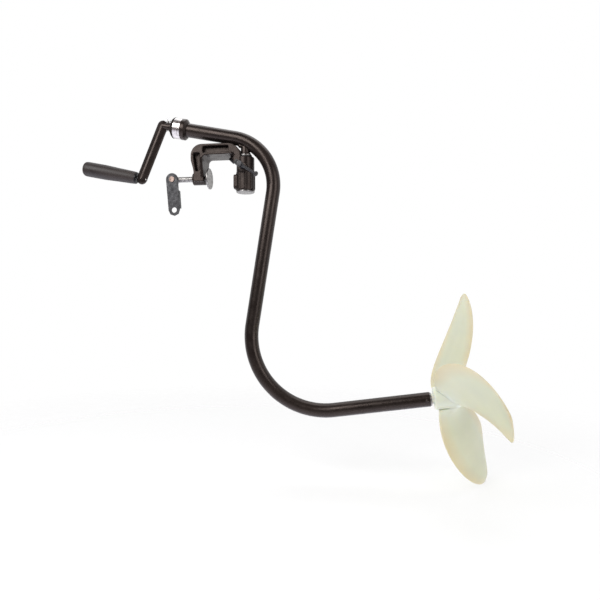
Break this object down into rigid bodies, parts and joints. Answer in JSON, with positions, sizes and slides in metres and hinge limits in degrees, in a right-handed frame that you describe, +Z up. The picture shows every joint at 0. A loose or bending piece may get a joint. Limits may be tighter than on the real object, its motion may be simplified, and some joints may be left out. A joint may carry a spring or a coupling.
{
  "type": "hand-cranked outboard motor",
  "caption": "Hand-cranked outboard drive for a small boat: a bent black tube on a transom screw clamp, with a crank handle at one end and a wide-bladed plastic propeller at the other.",
  "frame": {"origin": "middle of the clamp bracket's seat, which rests on the top of the transom", "axes": "+Z up, +X aft towards the propeller, -X inboard towards the crank; the bent tube lies in the XZ plane"},
  "size_m": [0.7585, 0.3206, 0.6722],
  "materials": {
    "casting_black": "gloss black paint over a cast surface",
    "tube_black": "gloss black powder coat",
    "crank_black": "semi-gloss black paint",
    "bright_aluminium": "turned, bright",
    "bright_steel": "ground and polished",
    "zinc_steel": "dull zinc plate",
    "dark_steel": "dark pressed steel, worn",
    "grip_plastic": "matt, fine moulded grain",
    "black_plastic": "moulded end caps",
    "seal_rubber": "moulded seal",
    "bush_bronze": "sintered bronze",
    "white_nylon": "turned nylon",
    "cable_steel": "wound spring wire",
    "propeller_plastic": "translucent cream moulding"
  },
  "bodies": {
    "bracket": {"clamp_bracket": "casting_black", "corner_bolt": "dark_steel", "column_cap": "zinc_steel", "upper_steering_bush": "black_plastic", "lower_steering_bush": "white_nylon"},
    "tube": {"main_tube": "tube_black", "steering_stem": "tube_black", "stem_thrust_washer": "zinc_steel", "stem_lower_washer": "zinc_steel", "stem_circlip": "dark_steel", "bearing_housing": "crank_black", "bearing_sleeve": "bright_aluminium", "bearing_cap": "crank_black", "bearing_outer_ring": "bright_steel", "bearing_balls": "bright_steel", "bearing_cage": "bush_bronze", "crank_shaft_seal": "seal_rubber", "drive_cable": "cable_steel", "cable_liner": "white_nylon", "liner_spacers": "white_nylon", "lower_shaft_bush": "bush_bronze", "propeller_shaft_seal": "seal_rubber", "bush_rivets": "tube_black"},
    "crank": {"crank_hub": "crank_black", "crank_arm": "crank_black", "hub_pin": "zinc_steel", "grip_spindle": "zinc_steel", "grip_washer": "zinc_steel", "input_shaft": "bright_steel", "shaft_circlip": "dark_steel", "bearing_inner_ring": "bright_steel", "upper_coupler": "zinc_steel"},
    "pull_ring": {"pin_ring": "bright_steel"},
    "grip": {"crank_grip": "grip_plastic"},
    "propeller": {"propeller": "propeller_plastic", "drive_pin": "bright_steel", "propeller_washer": "bright_steel", "propeller_nut": "bright_steel", "propeller_shaft": "bright_steel", "lower_coupler": "zinc_steel", "thrust_washer": "zinc_steel", "spacer_bush": "white_nylon"},
    "clamp_pad": {"swivel_pad": "zinc_steel"},
    "clamp_screw": {"clamp_screw": "zinc_steel", "lever_rivet": "zinc_steel"},
    "clamp_lever": {"clamp_lever": "dark_steel"},
    "lock_pad": {"lock_pad": "white_nylon"},
    "lock_screw": {"lock_screw": "dark_steel"},
    "lock_bar": {"lock_t_bar": "dark_steel", "t_bar_caps": "black_plastic"}
  },
  "joints": [
    {"name": "steering", "type": "hinge", "parent": "bracket", "child": "tube", "pos_m": [0.0495, 0, -0.02], "axis": [0, 0, 1], "range_deg": [-35, 35]},
    {"name": "propeller_turn", "type": "hinge", "parent": "tube", "child": "propeller", "pos_m": [0.37849, 0, -0.43474], "axis": [0.9903, 0, 0.1392], "continuous": true},
    {"name": "crank_turn", "type": "hinge", "parent": "tube", "child": "crank", "pos_m": [-0.06771, 0, 0.05414], "axis": [-0.9799, 0, 0.1994], "continuous": true},
    {"name": "grip_spin", "type": "hinge", "parent": "crank", "child": "grip", "pos_m": [-0.14718, 0, -0.03552], "axis": [-0.9799, 0, 0.1994], "continuous": true},
    {"name": "ring_swing", "type": "hinge", "parent": "crank", "child": "pull_ring", "pos_m": [-0.09783, 0, 0.06914], "axis": [-0.9799, 0, 0.1994], "range_deg": [-60, 60]},
    {"name": "clamp_travel", "type": "slide", "parent": "bracket", "child": "clamp_pad", "axis": [1, 0, 0], "range_m": [0, 0.022]},
    {"name": "clamp_screw_turn", "type": "hinge", "parent": "clamp_pad", "child": "clamp_screw", "pos_m": [-0.06, 0, -0.039], "axis": [1, 0, 0], "range_deg": [0, 3960]},
    {"name": "lever_fold", "type": "hinge", "parent": "clamp_screw", "child": "clamp_lever", "pos_m": [-0.088, 0, -0.039], "axis": [0, 1, 0], "range_deg": [-20, 60]},
    {"name": "lock_travel", "type": "slide", "parent": "bracket", "child": "lock_pad", "axis": [0, -1, 0], "range_m": [0, 0.0025]},
    {"name": "lock_screw_turn", "type": "hinge", "parent": "lock_pad", "child": "lock_screw", "pos_m": [0.0495, -0.03, -0.024], "axis": [0, -1, 0], "range_deg": [0, 720]},
    {"name": "t_bar_slide", "type": "slide", "parent": "lock_screw", "child": "lock_bar", "axis": [-0.8434, 0, 0.5373], "range_m": [0, 0.027]}
  ],
  "couplings": [
    {"joint": "crank_turn", "follows": "propeller_turn", "ratio": -1},
    {"joint": "clamp_screw_turn", "follows": "clamp_travel", "rad_per_m": 3141.6},
    {"joint": "lock_screw_turn", "follows": "lock_travel", "rad_per_m": 5026.5}
  ]
}
